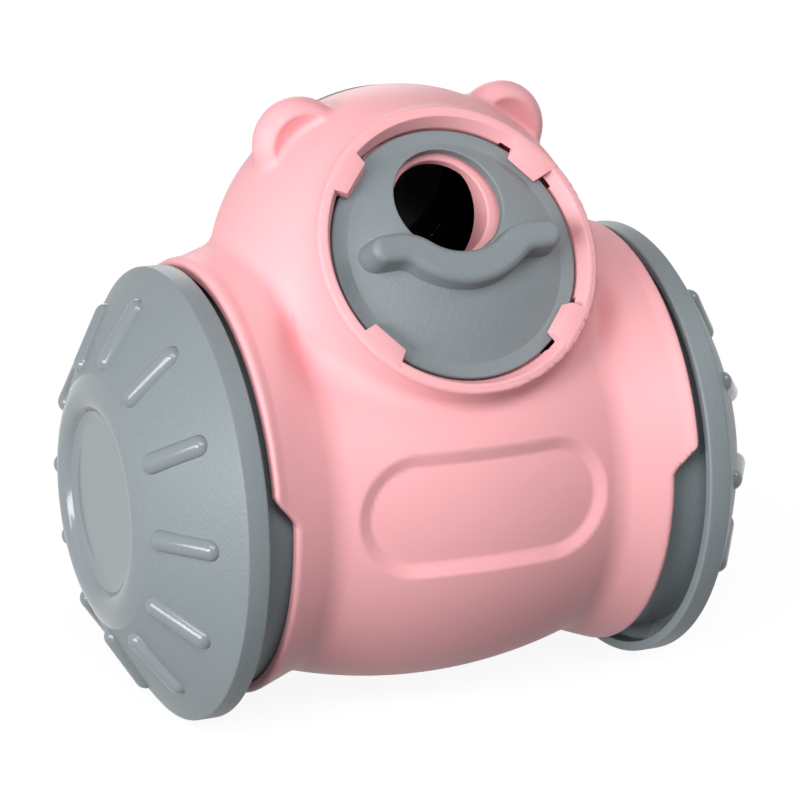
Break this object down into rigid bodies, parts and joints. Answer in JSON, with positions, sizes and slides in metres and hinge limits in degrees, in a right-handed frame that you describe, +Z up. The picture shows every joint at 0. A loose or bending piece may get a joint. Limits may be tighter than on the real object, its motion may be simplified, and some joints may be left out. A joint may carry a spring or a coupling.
{
  "type": "wobble treat dispenser",
  "caption": "Pet treat toy: a pink bear-shaped body rocks between grey coned wheels and drops treats from a hole in a turning front dial, with a filler lid behind.",
  "frame": {"origin": "on the floor, midway between the wheels and under the axle", "axes": "+X along the axle from the left wheel to the right one, -Y the way the face looks, +Z up"},
  "size_m": [0.1402, 0.096, 0.1314],
  "materials": {
    "pink_plastic": "satin moulded plastic",
    "grey_plastic": "fine-grained moulded plastic",
    "grey_gloss": "smooth moulded plastic",
    "steel": "plain steel",
    "bush_plastic": "natural acetal",
    "iron": "bare casting"
  },
  "bodies": {
    "body": {"front_shell": "pink_plastic", "rear_shell": "pink_plastic", "left_axle": "steel", "right_axle": "steel", "left_washer": "steel", "right_washer": "steel", "left_axle_screw": "steel", "right_axle_screw": "steel", "counterweight": "iron", "weight_cover": "pink_plastic", "cover_screws": "steel", "shell_screws": "steel"},
    "left_wheel": {"left_wheel": "grey_plastic", "left_hub_cap": "grey_gloss", "left_bush": "bush_plastic"},
    "right_wheel": {"right_wheel": "grey_plastic", "right_hub_cap": "grey_gloss", "right_bush": "bush_plastic"},
    "front_dial": {"front_dial": "grey_plastic"},
    "rear_lid": {"rear_lid": "grey_plastic"}
  },
  "joints": [
    {"name": "left_wheel_spin", "type": "hinge", "parent": "body", "child": "left_wheel", "pos_m": [-0.055, 0, 0.048], "axis": [1, 0, 0], "continuous": true},
    {"name": "right_wheel_spin", "type": "hinge", "parent": "body", "child": "right_wheel", "pos_m": [0.055, 0, 0.048], "axis": [1, 0, 0], "continuous": true},
    {"name": "front_dial_turn", "type": "hinge", "parent": "body", "child": "front_dial", "pos_m": [0, -0.02754, 0.1004], "axis": [0, -0.866, 0.5], "continuous": true},
    {"name": "rear_lid_turn", "type": "hinge", "parent": "body", "child": "rear_lid", "pos_m": [0, 0.02711, 0.10535], "axis": [0, 0.866, 0.5], "range_deg": [0, 45]}
  ]
}
